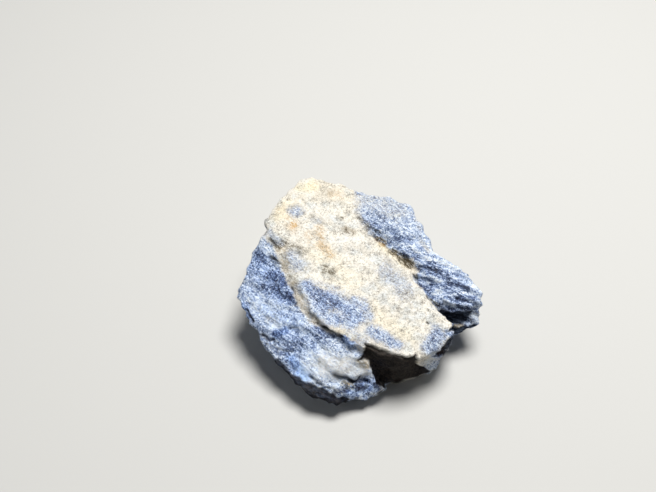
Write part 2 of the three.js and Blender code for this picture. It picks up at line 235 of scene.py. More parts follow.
# Colour marks: the line each follows, its half width and its strength. The first three families make
# the rock darker, deeper blue and lighter.
NAVY = [
    ([(-12.8, -11.6, 9.2), (-10.4, -12.4, 9.4), (-7.4, -12.6, 10.2)], 1.3, 0.35),
    ([(-3.8, -20.4, 4.6), (-1.6, -19.4, 5.3), (0.5, -18.1, 5.3), (2.3, -18.2, 4.8)], 1.1, 0.7),
    # The next two marks on the right side face are partly the rock's navy and partly painted shade.
    ([(17.0, -8.6, 8.6), (16.1, -11.6, 8.9), (14.0, -14.1, 8.4)], 1.0, 1.0),
    ([(16.0, -9.5, 5.5), (13.5, -13.0, 5.5)], 2.4, 0.9),
    ([(0.3, 12.0, 15.5), (2.0, 10.3, 15.3), (3.8, 8.6, 15.1)], 0.7, 0.45),
    ([(2.2, 13.1, 16.0), (4.6, 10.7, 15.8)], 0.8, 0.12),
    ([(6.7, 7.3, 15.1), (9.1, 6.6, 15.1)], 0.55, 0.9),
    ([(5.3, 9.2, 15.8), (6.8, 8.3, 15.5)], 0.6, 0.8),
    ([(6.6, 12.7, 16.5), (6.8, 12.6, 16.5)], 0.45, 0.6),
    ([(-7.4, -4.6, 13.7), (-6.8, -5.7, 13.6), (-4.8, -6.9, 13.2)], 1.0, 0.55),
    ([(-9.3, -2.9, 14.0), (-8.4, -4.4, 13.7), (-7.8, -5.8, 13.5)], 0.9, 0.45),
    ([(-7.7, -10.5, 11.3), (-5.5, -11.6, 11.5), (-3.4, -12.9, 11.5)], 0.7, 0.9),
    ([(14.8, -5.4, 11.6), (16.6, -5.6, 11.2)], 0.5, 0.15),
    ([(10.8, 2.4, 14.0), (12.6, 2.1, 14.2)], 0.5, 0.6),
    ([(13.4, -0.2, 13.5), (15.6, -0.9, 13.4)], 0.5, 0.8),
    ([(10.5, 1.7, 13.4), (12.8, 1.0, 13.7), (15.0, 0.2, 13.7)], 0.6, 0.8),
    ([(10.9, -1.7, 12.5), (12.6, -2.3, 12.4)], 0.5, 0.8),
    ([(15.8, 0.2, 13.6), (17.6, -0.3, 13.4)], 0.6, 1.0),
    ([(12.6, -1.6, 12.9), (15.4, -2.4, 12.8)], 0.45, 0.6),
    ([(17.5, -4.4, 11.6), (19.9, -5.1, 10.9)], 0.55, 1.0),
    ([(15.8, -1.6, 12.8), (19.5, -2.8, 12.6)], 0.5, 0.9),
    ([(10.5, -2.1, 12.8), (12.8, -3.0, 12.2)], 0.5, 0.9),
    ([(16.4, -4.9, 11.5), (19.8, -5.3, 10.8)], 0.8, 0.4),
    ([(13.0, -3.9, 11.7), (14.4, -4.7, 11.8)], 0.4, 0.6),
    ([(15.7, -6.5, 9.6), (19.8, -5.6, 9.8)], 1.5, 1.0),
    ([(-18.8, 4.7, 13.7), (-17.7, 3.4, 13.7)], 0.9, 0.7),
    ([(-16.5, 0.1, 13.0), (-13.7, -2.0, 13.4)], 1.0, 0.9),
    ([(-15.2, -2.7, 12.2), (-13.2, -4.3, 12.5), (-11.5, -5.9, 12.6)], 0.8, 0.9),
    ([(-18.0, -1.4, 11.7), (-16.3, -3.0, 11.7)], 0.8, 0.6),
    ([(-15.6, -10.5, 8.6), (-10.9, -10.4, 10.3)], 0.8, 0.3),
    ([(-12.5, -12.5, 8.4), (-10.7, -13.7, 8.5)], 0.5, 0.6),
    ([(-14.3, -13.3, 7.4), (-13.0, -13.7, 7.6)], 0.4, 0.5),
    ([(-15.4, -10.3, 9.0), (-14.5, -10.3, 9.3), (-13.6, -10.0, 9.8)], 0.7, 0.9),
    ([(0.2, -18.0, 5.7), (1.4, -18.1, 5.5)], 0.4, 1.5),
    ([(-0.8, -18.8, 5.2), (-0.2, -19.2, 4.8)], 0.4, 1.3),
    ([(-2.9, -20.0, 5.2), (-2.2, -19.9, 5.1)], 0.4, 1.3),
    ([(-14.9, -6.8, 11.0), (-13.4, -7.8, 11.1), (-12.0, -8.6, 11.3)], 0.35, 0.6),
    ([(13.7, -12.0, 11.0), (12.8, -13.4, 10.7)], 1.4, 0.25),
]
SATURATED = [
    ([(-1.8, -19.8, 4.8), (0.8, -18.8, 4.8), (2.8, -18.0, 4.6)], 1.2, 0.6),
    ([(-19.0, 2.5, 12.8), (-16.5, 0.0, 12.8), (-13.5, -4.0, 12.4)], 2.2, 0.4),
    ([(-12.4, -14.9, 7.2), (-10.0, -17.5, 6.0)], 1.3, 1.0),
    ([(-21.3, -4.0, 8.5), (-20.6, -6.0, 8.4)], 1.2, 1.0),
    ([(-2.9, -13.6, 11.5), (0.1, -15.0, 11.0)], 0.8, 0.7),
    ([(-17.2, -6.0, 10.2), (-14.5, -8.0, 10.7), (-11.6, -9.4, 11.0)], 1.8, 0.4),
    ([(-15.4, -10.3, 9.0), (-13.6, -10.0, 9.8)], 0.8, 0.8),
    ([(-18.0, -3.0, 11.0), (-15.0, -8.0, 10.5), (-10.0, -12.5, 9.6)], 3.6, 0.24),
    ([(-9.0, -16.5, 7.5), (-4.0, -17.0, 8.0), (-0.5, -17.0, 7.8)], 2.8, 0.22),
    ([(-10.0, -4.0, 14.0), (-5.0, -8.0, 13.0), (0.0, -8.0, 12.6)], 2.6, 0.16),
]
LIGHT_BLUE = [
    ([(-10.4, -3.7, 13.9), (-9.6, -6.5, 12.9), (-8.0, -8.9, 12.2), (-6.6, -10.2, 12.0)], 0.8, 1.2),
    ([(-3.4, -13.4, 10.8), (-1.1, -14.9, 10.2)], 0.9, 0.8),
    ([(-4.2, -20.0, 4.8), (-1.6, -19.9, 4.4)], 0.8, 1.0),
    ([(2.2, -17.9, 4.6), (3.2, -17.6, 4.2)], 0.8, 1.0),
    ([(-18.2, 7.4, 14.7), (-16.2, 4.9, 14.7)], 1.3, 0.8),
    ([(-18.6, -3.7, 10.5), (-17.2, -5.2, 10.3)], 1.6, 0.7),
    ([(-17.9, -5.4, 10.3), (-14.5, -8.2, 10.7), (-11.2, -10.0, 10.8)], 2.2, 1.1),
    ([(-10.9, -14.3, 8.2), (-8.7, -13.9, 9.1), (-5.0, -14.4, 9.6), (-2.5, -15.0, 10.0)], 1.6, 0.75),
    # Partly the lobe's whitish colour, partly painted light on its underside, turned from the key lamp.
    ([(-9.1, -17.0, 6.8), (-7.3, -15.9, 8.3), (-3.8, -17.1, 8.0), (-0.4, -16.9, 7.8)], 2.4, 2.3),
    ([(-5.5, -18.3, 6.2), (-3.8, -19.0, 5.8)], 1.4, 1.0),
    ([(20.6, -2.8, 12.4), (21.5, -3.6, 11.2), (21.9, -4.6, 9.6)], 0.9, 1.1),
    ([(20.6, -5.4, 8.7), (21.8, -5.6, 8.4), (21.0, -6.6, 7.2)], 0.9, 1.5),
    ([(4.7, 8.6, 15.4), (6.0, 9.6, 15.8)], 1.0, 0.7),
    # Partly the flank's pale colour, partly painted light on faces turned from the key lamp.
    ([(11.2, -14.8, 8.2), (13.1, -14.3, 5.0)], 1.4, 2.0),
    ([(-20.9, -1.8, 10.4), (-20.6, -3.0, 10.2)], 0.9, 0.8),
    ([(-15.8, -8.8, 9.5), (-14.3, -9.1, 10.1)], 0.9, 1.7),
    ([(2.0, 15.5, 16.5), (6.8, 14.3, 16.7), (9.6, 9.7, 16.1), (10.4, 5.6, 15.0)], 2.4, 0.5),
    ([
        (12.7, 5.9, 15.1), (13.6, 3.1, 14.6), (16.0, 1.6, 13.9), (18.4, -0.3, 13.3), (21.6, -3.0, 12.0),
    ], 0.8, 0.7),
    ([(8.4, 6.0, 15.0), (10.6, 4.6, 14.8)], 0.9, 0.9),
]

# Where blue rock shows on the pale bed, and where pale rock shows on the blue bands.
BLUE_ON_PALE = [
    ([(17.2, -8.4, 8.4), (15.6, -10.8, 8.4), (13.4, -13.6, 8.2)], 1.5, 1.0),
    ([(16.0, -9.5, 4.5), (13.5, -13.0, 4.0)], 3.0, 1.0),
    ([(15.5, -11.2, 10.4), (16.2, -11.2, 9.2), (15.0, -13.6, 9.0)], 0.9, 1.0),
    ([(12.0, -15.0, 6.6), (12.8, -14.2, 4.6)], 1.2, 0.7),
    ([(2.4, -17.4, 8.0), (2.2, -18.2, 5.0), (2.0, -18.0, 2.0)], 2.0, 1.0),
    ([(2.6, -17.6, 3.0), (4.6, -17.4, 2.0)], 1.8, 1.0),
    ([(-12.3, 13.3, 16.1), (-11.7, 13.2, 16.1)], 1.3, 0.66),
    ([(-17.0, 8.4, 15.3), (-16.0, 6.8, 15.4), (-14.8, 5.6, 15.3)], 0.9, 0.55),
    ([(-8.6, 11.6, 15.7), (-7.9, 10.9, 15.6)], 0.8, 0.28),
    ([(-12.6, 3.2, 14.8), (-11.4, 1.4, 14.6)], 1.6, 0.52),
    ([(4.8, 0.6, 13.8), (6.6, -1.4, 13.5), (8.2, -3.8, 12.9)], 1.9, 0.46),
    ([(-10.2, -3.4, 14.0), (-7.2, -5.2, 13.5)], 1.5, 0.85),
    ([(-7.4, -2.8, 13.9), (-4.2, -3.4, 13.7)], 0.8, 0.4),
    ([(-8.2, -6.3, 13.4), (-3.6, -6.6, 13.2), (-0.6, -8.9, 12.7)], 2.3, 0.85),
    ([(-8.0, -7.9, 13.0), (-5.2, -9.4, 12.6), (-1.6, -10.2, 12.5)], 1.6, 0.85),
    ([(-3.4, -6.2, 13.2), (0.2, -6.6, 13.0), (1.0, -8.8, 12.5)], 1.4, 0.72),
    ([(-1.7, -12.3, 12.2), (0.4, -13.9, 12.0)], 1.2, 0.45),
    ([(1.9, -12.2, 12.2), (4.1, -13.2, 12.0), (6.2, -14.5, 11.5)], 1.5, 0.78),
    ([(13.7, -12.0, 11.0), (13.4, -12.9, 10.7), (12.2, -14.2, 10.5)], 1.6, 0.84),
    ([(15.1, -11.4, 10.4), (13.9, -13.8, 9.6), (13.2, -14.2, 6.6), (12.9, -14.2, 4.0)], 1.0, 0.6),
    ([(12.0, -9.9, 11.8), (12.2, -9.9, 11.8)], 0.3, 0.5),
    ([(-9.1, -10.2, 11.3), (-7.2, -11.2, 11.0), (-5.4, -12.3, 10.8), (-3.4, -13.4, 10.8)], 0.8, 1.0),
    ([(10.0, -0.9, 12.9), (11.2, -2.6, 12.2)], 0.7, 0.6),
]
PALE_ON_BLUE = [
    ([(-0.7, 19.1, 17.6), (2.1, 18.1, 17.1), (4.4, 17.4, 16.6), (8.0, 16.0, 16.6)], 0.7, 0.9),
    ([(10.6, 12.0, 16.0), (11.4, 6.5, 15.0), (12.6, 4.4, 14.6)], 0.5, 0.5),
    ([(-6.4, -16.4, 8.2), (-3.4, -16.9, 8.3), (0.4, -16.8, 7.8)], 2.0, 0.5),
    ([(0.6, 16.0, 16.3), (4.0, 14.9, 16.6), (7.3, 12.6, 16.6)], 2.2, 0.34),
    ([(-16.4, -7.8, 9.9), (-15.6, -8.4, 9.9)], 0.9, 0.25),
    ([(-18.6, 8.6, 15.0), (-17.4, 7.6, 15.0)], 1.0, 0.5),
    ([(17.3, -7.2, 7.4), (18.6, -7.0, 7.1)], 0.4, 0.7),
    ([(9.4, 2.2, 13.3), (10.2, 1.0, 13.0)], 0.6, 0.6),
    ([(20.6, -5.6, 8.6), (21.6, -6.2, 7.6)], 0.9, 0.25),
]

# Greyer and creamier quartz.
GREY = [
    ([(6.0, -2.5, 13.2), (8.5, -5.5, 12.6), (10.5, -9.0, 11.9)], 3.0, 0.5),
    ([(-2.0, 6.5, 15.0), (2.5, 3.0, 14.2), (5.0, 0.0, 13.7)], 2.2, 0.35),
    ([(-13.2, 3.4, 15.0), (-10.8, -1.4, 14.2)], 1.8, 0.6),
    ([(-16.8, 12.0, 15.7), (-16.3, 8.9, 15.6), (-14.0, 6.3, 15.4)], 1.2, 0.9),
    ([(-3.6, 9.6, 15.5), (-0.8, 8.0, 15.2)], 1.6, 0.5),
    ([(-6.6, 0.6, 14.3), (-5.2, -0.6, 14.2)], 1.0, 0.6),
]
CREAM = [
    ([(-11.2, 18.4, 16.9), (-8.8, 19.2, 17.0)], 1.2, 1.0),
    ([(-11.5, 17.5, 16.6), (-8.0, 18.5, 16.9), (-3.0, 17.5, 16.8)], 2.4, 0.25),
    ([(-15.0, 12.0, 15.8), (-13.5, 14.5, 16.2)], 1.6, 0.7),
    ([(0.6, -7.4, 12.9), (4.0, -10.6, 12.2), (7.5, -12.5, 11.8)], 2.0, 0.45),
    ([(-4.4, -11.7, 12.2), (-1.6, -13.2, 12.3)], 0.8, 0.5),
    ([(4.2, 6.0, 14.4), (8.2, 2.0, 13.9)], 1.0, 0.7),
    ([(-7.6, 4.0, 15.0), (-2.0, -2.0, 14.0)], 2.2, 0.38),
]

# Clay and iron stains.
TAN = [
    (STRIP, 1.1, 0.42),
    ([(-14.7, 4.7, 15.3), (-13.5, 1.7, 14.7)], 0.9, 0.6),
    ([(-6.2, 0.2, 14.3), (-5.2, -0.1, 14.3)], 0.8, 0.6),
    ([(-2.8, 9.3, 15.5), (-1.4, 8.5, 15.3)], 0.8, 0.5),
    ([(-16.2, 11.5, 15.8), (-14.4, 14.5, 16.2)], 0.8, 0.3),
    ([(-10.5, 18.2, 16.9), (-4.0, 17.2, 16.8), (0.2, 14.6, 16.4)], 2.6, 0.10),
    ([(3.6, 7.2, 14.6), (4.4, 6.2, 14.5)], 0.7, 0.9),
    ([(8.8, 2.6, 13.4), (10.0, 1.6, 13.0)], 0.8, 0.6),
    ([(3.0, 15.2, 16.6), (6.8, 12.0, 16.4), (9.0, 8.0, 15.6)], 3.0, 0.12),
    ([(0.1, -16.3, 8.9), (0.9, -16.5, 8.4)], 0.8, 1.0),
    ([(-2.9, -18.9, 5.6), (-1.7, -18.9, 5.4)], 0.7, 1.6),
    ([(17.3, -7.2, 7.4), (18.6, -7.0, 7.1)], 0.4, 1.0),
    ([(10.2, -15.1, 7.4), (11.8, -14.6, 7.2)], 0.8, 0.5),
]
OLIVE = [
    ([(-14.0, 5.9, 15.4), (-12.3, 5.1, 15.2), (-10.5, 4.1, 14.9)], 0.9, 0.45),
    ([(-16.6, 7.0, 15.2), (-15.0, 5.0, 15.2)], 0.7, 0.5),
    ([(4.0, 7.7, 14.7), (4.9, 6.8, 14.4), (6.2, 5.0, 14.1)], 0.5, 0.2),
    ([(6.0, 4.8, 14.1), (7.6, 3.2, 13.7), (9.0, 2.5, 13.4)], 0.8, 1.3),
    ([(3.4, 7.5, 14.7), (4.6, 6.6, 14.4)], 0.45, 0.4),
    ([(9.6, 1.6, 13.4), (10.3, -0.4, 12.9), (11.0, -2.0, 12.6)], 0.35, 0.7),
    ([(12.0, -4.2, 12.1), (14.0, -5.4, 11.2)], 0.35, 0.8),
    ([(-9.4, -8.0, 12.2), (-8.4, -9.2, 11.8)], 0.5, 0.35),
    ([(-12.6, -1.2, 13.8), (-11.0, -4.2, 13.4), (-9.6, -6.4, 13.2)], 0.5, 0.25),
    ([(0.8, 10.4, 15.6), (3.0, 8.2, 15.0)], 1.0, 0.22),
    ([(-0.2, 12.0, 15.6), (0.9, 10.7, 15.5), (2.1, 9.5, 15.5), (3.6, 8.7, 15.1)], 0.4, 0.6),
    ([(-16.4, 3.2, 14.4), (-14.6, 1.4, 14.2)], 0.4, 0.5),
    ([(-3.9, 11.9, 15.8), (-3.2, 11.7, 15.8)], 0.3, 0.55),
    ([(-2.6, 9.2, 15.5), (-1.4, 8.4, 15.3)], 0.5, 0.4),
    ([(-6.2, 0.2, 14.3), (-5.2, -0.1, 14.3)], 0.8, 0.5),
    ([(-6.2, 17.8, 16.9), (-5.0, 17.5, 16.9)], 0.5, 0.14),
    ([(-8.6, 11.9, 15.8), (-7.4, 10.9, 15.7)], 0.8, 0.3),
    ([(11.8, -9.9, 11.9), (12.0, -9.9, 11.9)], 0.22, 1.0),
]
RUST = [
    ([(-2.4, -18.9, 5.6), (-1.9, -18.9, 5.5)], 0.5, 0.7),
    ([(-12.5, 10.3, 15.6), (-12.3, 10.1, 15.6)], 0.75, 1.5),
    ([(-13.2, 11.2, 15.8), (-12.2, 9.6, 15.6)], 1.2, 0.45),
    ([(-7.6, 9.4, 15.6), (-7.0, 5.7, 15.1), (-5.3, 3.7, 14.7)], 0.8, 0.6),
    ([(-9.6, 8.0, 15.4), (-8.0, 5.6, 15.1)], 0.9, 0.35),
    ([(3.3, 7.6, 14.7), (4.6, 6.6, 14.3)], 0.5, 0.9),
    ([(-4.8, 17.1, 16.8), (-3.4, 16.9, 16.8)], 1.0, 0.28),
]

# The marks that share one ragged edge, by the name of their field.
RAGGED_MARKS = {"grey": GREY, "cream": CREAM, "tan": TAN, "olive": OLIVE, "rust": RUST}

# Colours and tints as red, green and blue. A list of tones runs from dark to light.
QUARTZ_TONES = [
    (0.02, (0.26, 0.24, 0.21)),
    (0.26, (0.52, 0.49, 0.43)),
    (0.50, (0.75, 0.71, 0.62)),
    (0.85, (0.92, 0.885, 0.81)),
]
BLUE_TONES = [
    (0.08, (0.012, 0.022, 0.06)),
    (0.30, (0.088, 0.135, 0.27)),
    (0.50, (0.27, 0.36, 0.56)),
    (0.70, (0.535, 0.64, 0.815)),
    (0.97, (0.84, 0.90, 0.96)),
]
# Near-black streaks for the recesses, as painted shade.
BROWN_RECESS = [(0.0, (0.005, 0.004, 0.005)), (1.0, (0.034, 0.025, 0.021))]
NAVY_RECESS = [(0.0, (0.008, 0.010, 0.016)), (1.0, (0.08, 0.105, 0.155))]
COOL_QUARTZ_TINT = (0.89, 0.945, 1.02)
CREAM_QUARTZ_TINT = (1.04, 0.97, 0.80)
DEEP_BLUE_TINT = (0.66, 0.84, 1.15)
# Painted shade for the relief's hollows.
HOLLOW_SHADE_TINT = (0.30, 0.32, 0.38)
# Painted highlight for the relief's crests.
CREST_HIGHLIGHT = (0.85, 0.88, 0.92)
# Painted shade for cracks and pits.
CRACK_SHADE = (0.03, 0.028, 0.035)

# Stains: the field each follows, its tint and how strong it gets.
STAINS = [
    ("tan", (0.66, 0.57, 0.43), 1.3),
    ("rust", (0.76, 0.54, 0.29), 1.2),
    ("olive", (0.15, 0.13, 0.09), 1.8),
]

# The studio.
STONE_MIDDLE = (0.0, 0.0, 0.008)
FLOOR_SIZE = 3.0
FLOOR_COLOUR = (0.52, 0.52, 0.505)
KEY_COLOUR = (1.0, 0.985, 0.96)
FILL_COLOUR = (0.93, 0.96, 1.0)
SKY_COLOUR = (0.92, 0.95, 1.0)
SKY_STRENGTH = 0.12


def smooth_step(low, high, value):
    """0 at low and before it, 1 at high and past it, and an even curve between."""
    t = np.clip((value - low) / (high - low), 0.0, 1.0)
    return t * t * (3.0 - 2.0 * t)


def random_of(cells, salt):
    """A repeatable number from 0 to 1 for each whole-number cell."""
    c = cells.astype(np.int64)
    h = c[..., 0] * 73856093 ^ c[..., 1] * 19349663 ^ c[..., 2] * 83492791 ^ (salt + SEED) * 2654435
    h &= 0xFFFFFFFF
    for _ in range(2):
        h = ((h ^ (h >> 16)) * 0x45D9F3B) & 0xFFFFFFFF
    return (h ^ (h >> 16)) / 0xFFFFFFFF


def random_vectors(cells, salt):
    """Three repeatable numbers from 0 to 1 for each whole-number cell."""
    return np.stack([random_of(cells, salt + k) for k in range(3)], axis=1)


def mottle(points, size, salt):
    """Smooth noise from -1 to 1 whose lumps are about that size."""
    q = points / size
    cell = np.floor(q)
    f = q - cell
    w = f * f * f * (f * (f * 6.0 - 15.0) + 10.0)
    total = np.zeros(len(points))
    for corner in np.ndindex(2, 2, 2):
        share = np.prod(np.where(corner, w, 1.0 - w), axis=1)
        total += share * random_of(cell + corner, salt)
    return total * 2.0 - 1.0


def rough(points, size, salt, layers=3):
    """Several layers of smooth noise, each half the size of the one before."""
    total, weight, most = np.zeros(len(points)), 1.0, 0.0
    for layer in range(layers):
        total += weight * mottle(points, size / 2**layer, salt + 31 * layer)
        most += weight
        weight *= 0.55
    return total / most


def chips(points, size, salt):
    """Flat broken faces: each cell of about that size has its own tilted plane, about -1 to 1 high."""
    q = points / size
    home = np.floor(q)
    best = np.full(len(points), 1e9)
    height = np.zeros(len(points))
    for step in np.ndindex(3, 3, 3):
        cell = home + np.array(step) - 1.0
        away = q - (cell + random_vectors(cell, salt))
        tilt = random_vectors(cell, salt + 3) * 2.0 - 1.0
        distance = (away * away).sum(axis=1)
        nearer = distance < best
        best = np.where(nearer, distance, best)
        plane = (away * tilt).sum(axis=1) + random_of(cell, salt + 7) - 0.5
        height = np.where(nearer, plane, height)
    return height


def frame_of(along, across):
    """Three axes at right angles: along the splinters, the one between, and across the layers."""
    x = along / np.linalg.norm(along)
    z = across - x * (across @ x)
    z /= np.linalg.norm(z)
    return np.stack([x, np.cross(z, x), z])


def reach(points, line):
    """How far each point is from a line through the given corners."""
    line = np.array(line, float)
    nearest = np.full(len(points), 1e9)
    for a, b in zip(line[:-1], line[1:]):
        edge = b - a
        t = np.clip((points - a) @ edge / (edge @ edge), 0.0, 1.0)
        nearest = np.minimum(nearest, np.linalg.norm(points - a - t[:, None] * edge, axis=1))
    return nearest


def beside(points, line):
    """Signed distance in plan from a line: above 0 on its right, seen going along it."""
    line = np.array(line, float)
    nearest = np.full(len(points), 1e9)
    signed = np.zeros(len(points))
    for a, b in zip(line[:-1], line[1:]):
        edge = b - a
        to = points[:, :2] - a
        t = np.clip(to @ edge / (edge @ edge), 0.0, 1.0)
        distance = np.linalg.norm(to - t[:, None] * edge, axis=1)
        side = np.sign(to[:, 0] * edge[1] - to[:, 1] * edge[0])
        nearer = distance < nearest
        nearest = np.where(nearer, distance, nearest)
        signed = np.where(nearer, side * distance, signed)
    return signed


def within(places, outline):
    """Distance from an outline: above 0 inside it and below 0 outside it."""
    corners = np.array(outline)
    nearest = reach(places, [*outline, outline[0]])
    inside = np.zeros(len(places), bool)
    for a, b in zip(corners, np.roll(corners, -1, axis=0)):
        edge = b - a
        if edge[1] != 0.0:
            crossing = a[0] + (places[:, 1] - a[1]) / edge[1] * edge[0]
            between = (places[:, 1] >= min(a[1], b[1])) & (places[:, 1] < max(a[1], b[1]))
            inside ^= between & (places[:, 0] < crossing)
    return np.where(inside, nearest, -nearest)


def marks(points, warp, kinds):
    """How strongly a family of marks covers each point."""
    total = np.zeros(len(points))
    for line, width, strength in kinds:
        spread = reach(points, line) / width + 0.45 * warp
        total = np.maximum(total, strength * (1.0 - smooth_step(0.3, 1.7, spread)))
    return total


def splintered(points, along, salt):
    """Ledges and long splinters that run along a direction, in millimetres."""
    q = points @ frame_of(along, FOLIATION).T
    q[:, 2] += 0.5 * mottle(points, 3.0, salt) + 0.2 * mottle(points, 1.1, salt + 1)
    long_cells = q * np.array((0.36, 1.0, 1.0))
    saw = (q[:, 2] / 1.15 + 0.6 * mottle(points, 4.0, salt + 3)) % 1.0
    ledges = np.where(saw < 0.22, saw / 0.22, 1.0 - (saw - 0.22) / 0.78) - 0.5
    broken = smooth_step(-0.35, 0.5, mottle(long_cells, 2.6, salt + 4))
    return 0.30 * ledges * broken + 0.17 * rough(long_cells, 0.75, salt + 2, 2)


def fine_mesh(node):
    """A copy of the CAD node remade as small even squares."""
    piece = bpy.data.objects.new("stone_surface", node.data.copy())
    bpy.context.scene.collection.objects.link(piece)
    weld = piece.modifiers.new("weld", "WELD")
    weld.merge_threshold = WELD_DISTANCE * MM
    remesh = piece.modifiers.new("remesh", "REMESH")
    remesh.mode = "VOXEL"
    remesh.voxel_size = VOXEL * MM
    ready = piece.evaluated_get(bpy.context.evaluated_depsgraph_get())
    mesh = bpy.data.meshes.new_from_object(ready)
    piece.modifiers.clear()
    piece.data = mesh
    mesh.materials.clear()
    return piece


class Surface:
    """The mesh's vertices as an array of millimetres, with what is needed to smooth and swell it."""

    def __init__(self, mesh):
        count = len(mesh.vertices)
        self.points = np.empty(count * 3)
        mesh.vertices.foreach_get("co", self.points)
        self.points = self.points.reshape(-1, 3) / MM
        self.edges = np.empty(len(mesh.edges) * 2, np.int64)
        mesh.edges.foreach_get("vertices", self.edges)
        self.edges = self.edges.reshape(-1, 2)
        self.squares = np.empty(len(mesh.loops), np.int64)
        mesh.loops.foreach_get("vertex_index", self.squares)
        self.squares = self.squares.reshape(-1, 4)
        self.valence = np.bincount(self.edges.ravel(), minlength=count)

    def around(self, values):
        """The mean of each vertex's neighbours, for one column of values or for several."""
        if values.ndim > 1:
            return np.stack([self.around(column) for column in values.T], axis=1)
        a, b = self.edges.T
        total = np.bincount(a, values[b], len(values)) + np.bincount(b, values[a], len(values))
        return total / self.valence

    def blurred(self, values, passes):
        for _ in range(passes):
            values = 0.5 * values + 0.5 * self.around(values)
        return values

    def smooth(self, passes):
        """Takes out small facets: each pass pulls in, then pushes out a little more to keep the size."""
        for step in (0.5, -0.53) * passes:
            self.points += step * (self.around(self.points) - self.points)

    def swell(self, middle, half_sizes, shift):
        """Moves the middle of an ellipsoid by the shift, and less and less towards its rim."""
        away = (((self.points - np.array(middle)) / np.array(half_sizes)) ** 2).sum(axis=1)
        self.points += np.clip(1.0 - away, 0.0, 1.0)[:, None] ** 2 * np.array(shift)

    def facing(self):
        """Which way each vertex faces, evened out over its neighbourhood."""
        p = self.points[self.squares]
        square = np.cross(p[:, 2] - p[:, 0], p[:, 3] - p[:, 1])
        normal = np.zeros_like(self.points)
        for k in range(3):
            for corner in range(4):
                normal[:, k] += np.bincount(self.squares[:, corner], square[:, k], len(normal))
        normal /= np.linalg.norm(normal, axis=1, keepdims=True)
        normal = self.blurred(normal, FACING_PASSES)
        return normal / np.linalg.norm(normal, axis=1, keepdims=True)


class Places:
    """Where each vertex lies and faces, how ragged its marks are, and which part of the stone it is in."""

    def __init__(self, points, facing):
        self.points = points
        self.facing = facing
        self.warp = rough(points, 2.2, 11)
        self.fine_warp = rough(points, 0.9, 12)
        self.facing_up = smooth_step(0.35, 0.85, facing[:, 2])
        self.in_view = smooth_step(-0.2, 0.1, facing @ TO_CAMERA)
        self.hidden = 1.0 - self.in_view
        self.ridge = marks(points, self.warp, RIDGE)
        self.patchy = 0.45 + 0.55 * smooth_step(-0.5, 0.2, mottle(points, 1.3, 85))
        self.foot = smooth_step(7.0, 5.0, points[:, 2])
        self.foot *= smooth_step(-13.0, -16.5, points[:, 1]) * smooth_step(6.0, 3.0, points[:, 0])


def blue_and_pale(at):
    """The share of blue rock at each point, and the share of the pale bed."""
    p = at.points
    ragged = 0.8 * at.warp + 0.5 * at.fine_warp + 0.25 * mottle(p, 0.5, 14)
    ragged += (1.0 - at.facing_up) * smooth_step(-8.0, -2.0, p[:, 1]) * 3.2 * rough(p, 7.0, 19)
    fade = 0.6 + 1.3 * marks(p, at.warp, FADING_EDGE)
    left_share = smooth_step(-0.6, 0.6, ragged - beside(p, PALE_LEFT))
    right_share = smooth_step(-1.0, 1.0, (ragged + beside(p, PALE_RIGHT)) / fade)
    pale = np.minimum(left_share, right_share)
    torn = at.warp + 0.5 * at.fine_warp
    blue = np.maximum(1.0 - pale, marks(p, torn, BLUE_ON_PALE))
    blue *= 1.0 - marks(p, torn, PALE_ON_BLUE)
    return blue, pale


def broken_faces(at, blue, pale):
    """Height of the blue rock's splinters and ledges, and of the chips and grains everywhere."""
    p = at.points
    lively = 1.0 - 0.70 * at.facing_up * (1.0 - at.ridge)
    to_right = smooth_step(0.0, 4.0, p[:, 0])
    left_splinters = 0.75 * splintered(p, SPLINTER, 21)
    right_splinters = splintered(p, RIDGE_SPLINTER, 91)
    wall = smooth_step(0.5, 0.1, at.facing[:, 2])
    height = blue * lively * (left_splinters + to_right * (right_splinters - left_splinters))
    height += (0.05 + 0.09 * wall + 0.06 * at.ridge) * chips(p, 2.1, 41)
    height += (0.04 + 0.04 * wall + 0.03 * at.ridge) * chips(p, 0.95, 51)
    height += 0.02 * mottle(p, 0.55, 61)
    height += 0.14 * at.facing_up * pale * rough(p, 3.5, 62)
    return height


def cracks_and_pits(at):
    """Depth of the cracks and of the crumbled foot's pits, and the painted shade each point gets in them.
    """
    p = at.points
    depth = 0.38 * at.foot * smooth_step(0.15, 0.6, mottle(p, 1.0, 71))
    dark = 0.8 * at.foot * smooth_step(0.05, 0.4, mottle(p, 0.8, 72))
    wobble = 0.35 * np.stack([mottle(p, 1.4, 81 + k) for k in range(3)], axis=1)
    for line, width, deepest in CRACKS.values():
        gap = reach(p + wobble, line) + 0.10 * at.fine_warp
        opening = np.exp(-((gap / width) ** 2))
        if deepest < SHALLOW_CRACK:
            opening *= at.patchy
        depth += deepest * opening
        dark = np.maximum(dark, opening * min(1.0, 1.8 * deepest))
    return depth, dark


def layer_lines(at, blue):
    """The blue rock's broad bands of tone, its seams where the camera doesn't see, and its creases."""
    p = at.points
    layers = p @ frame_of(SPLINTER, FOLIATION).T * np.array((0.20, 0.8, 1.0))
    bands = rough(layers, 3.4, 111)
    seams = smooth_step(0.045, 0.0, np.abs(rough(layers, 2.8, 121, 2)))
    seams *= at.hidden * at.patchy * blue
    creases = smooth_step(0.05, 0.0, np.abs(rough(layers * (1.7, 1.0, 1.0), 2.0, 131, 2)))
    creases *= smooth_step(2.0, -2.0, p[:, 0]) * at.in_view * blue
    creases *= smooth_step(-0.1, 0.3, mottle(p, 2.4, 133))
    return bands, seams, creases


